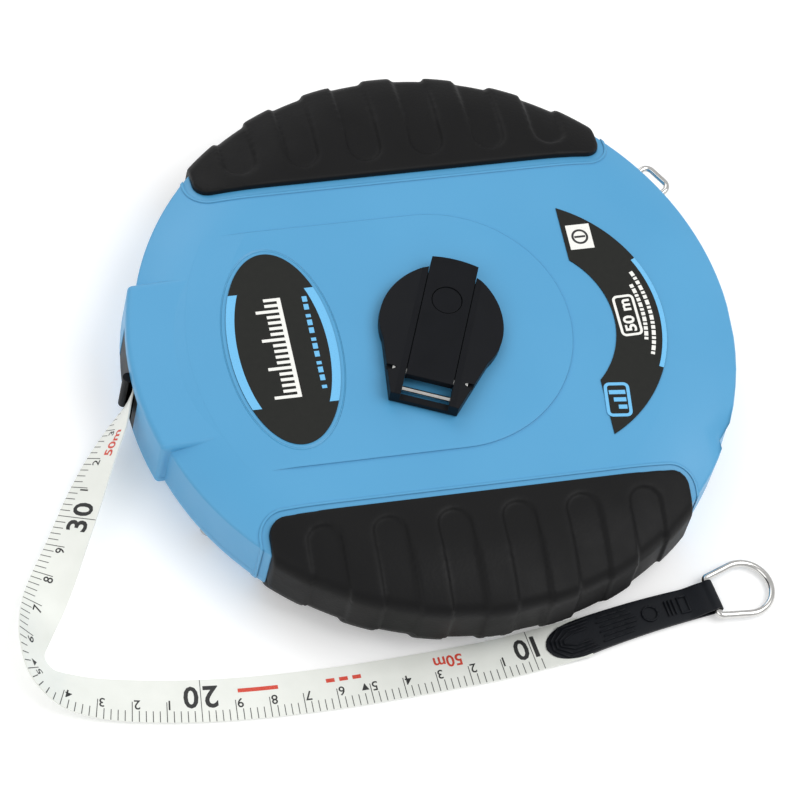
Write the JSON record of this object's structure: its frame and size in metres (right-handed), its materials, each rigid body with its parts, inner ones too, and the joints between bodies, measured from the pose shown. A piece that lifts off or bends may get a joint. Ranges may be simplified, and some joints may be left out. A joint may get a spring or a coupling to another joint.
{
  "type": "tape measure",
  "caption": "Closed-reel long tape measure: round blue case with black rubber grips, folding winding crank, printed fibreglass tape, end strap and D-ring.",
  "frame": {"origin": "where the reel's axis meets the rear face, on which the case rests", "axes": "+Z along the reel axis towards the crank; -X towards the tape mouth; the long grips lie at +Y and -Y"},
  "size_m": [0.2289, 0.1979, 0.0362],
  "materials": {
    "case_abs": "light blue moulded ABS, satin",
    "grip_rubber": "black moulded rubber, fine matt texture",
    "black_plastic": "black moulded nylon, satin",
    "reel_plastic": "dark grey moulded ABS",
    "bearing_plastic": "natural white acetal",
    "tape": "white PVC-coated fibreglass, printed",
    "strap_vinyl": "black grained vinyl, stitched",
    "bright_steel": "nickel-plated steel wire",
    "pin_steel": "turned steel",
    "label_black": "printed self-adhesive film"
  },
  "bodies": {
    "case": {"front_cover": "case_abs", "rear_cover": "case_abs", "front_grip_upper": "grip_rubber", "front_grip_lower": "grip_rubber", "rear_grip_upper": "grip_rubber", "rear_grip_lower": "grip_rubber", "mouth_guard": "black_plastic", "front_bush": "bearing_plastic", "front_washer": "bearing_plastic", "rear_washer": "bearing_plastic", "label_oval": "label_black", "label_crescent": "label_black", "case_screws": "pin_steel", "tape_lead": "tape", "tape_blade": "tape", "end_strap": "strap_vinyl"},
    "reel": {"reel_hub": "reel_plastic", "reel_flange": "reel_plastic", "wound_tape": "tape", "rear_bush": "bearing_plastic", "crank_base": "black_plastic", "crank_screws": "pin_steel", "hinge_pin": "pin_steel", "detent_rod": "pin_steel"},
    "crank": {"crank_arm": "black_plastic", "knob_rivet": "black_plastic"},
    "knob": {"crank_knob": "black_plastic"},
    "ring": {"d_ring": "bright_steel"},
    "loop": {"hanging_loop": "bright_steel"}
  },
  "joints": [
    {"name": "reel_spin", "type": "hinge", "parent": "case", "child": "reel", "pos_m": [0, 0, 0], "axis": [0, 0, 1], "continuous": true},
    {"name": "crank_fold", "type": "hinge", "parent": "reel", "child": "crank", "pos_m": [-0.00762, -0.01795, 0.0347], "axis": [0.9205, -0.3907, 0], "range_deg": [0, 180]},
    {"name": "knob_spin", "type": "hinge", "parent": "crank", "child": "knob", "pos_m": [0.00274, 0.00644, 0.026], "axis": [0, 0, 1], "continuous": true},
    {"name": "ring_swing", "type": "hinge", "parent": "case", "child": "ring", "pos_m": [0.06953, -0.08512, 0.0024], "axis": [0.1685, -0.9857, 0], "range_deg": [0, 150]},
    {"name": "loop_swing", "type": "hinge", "parent": "case", "child": "loop", "pos_m": [0.078, 0.05065, 0.013], "axis": [0.5446, -0.8387, 0], "range_deg": [-75, 75]}
  ]
}
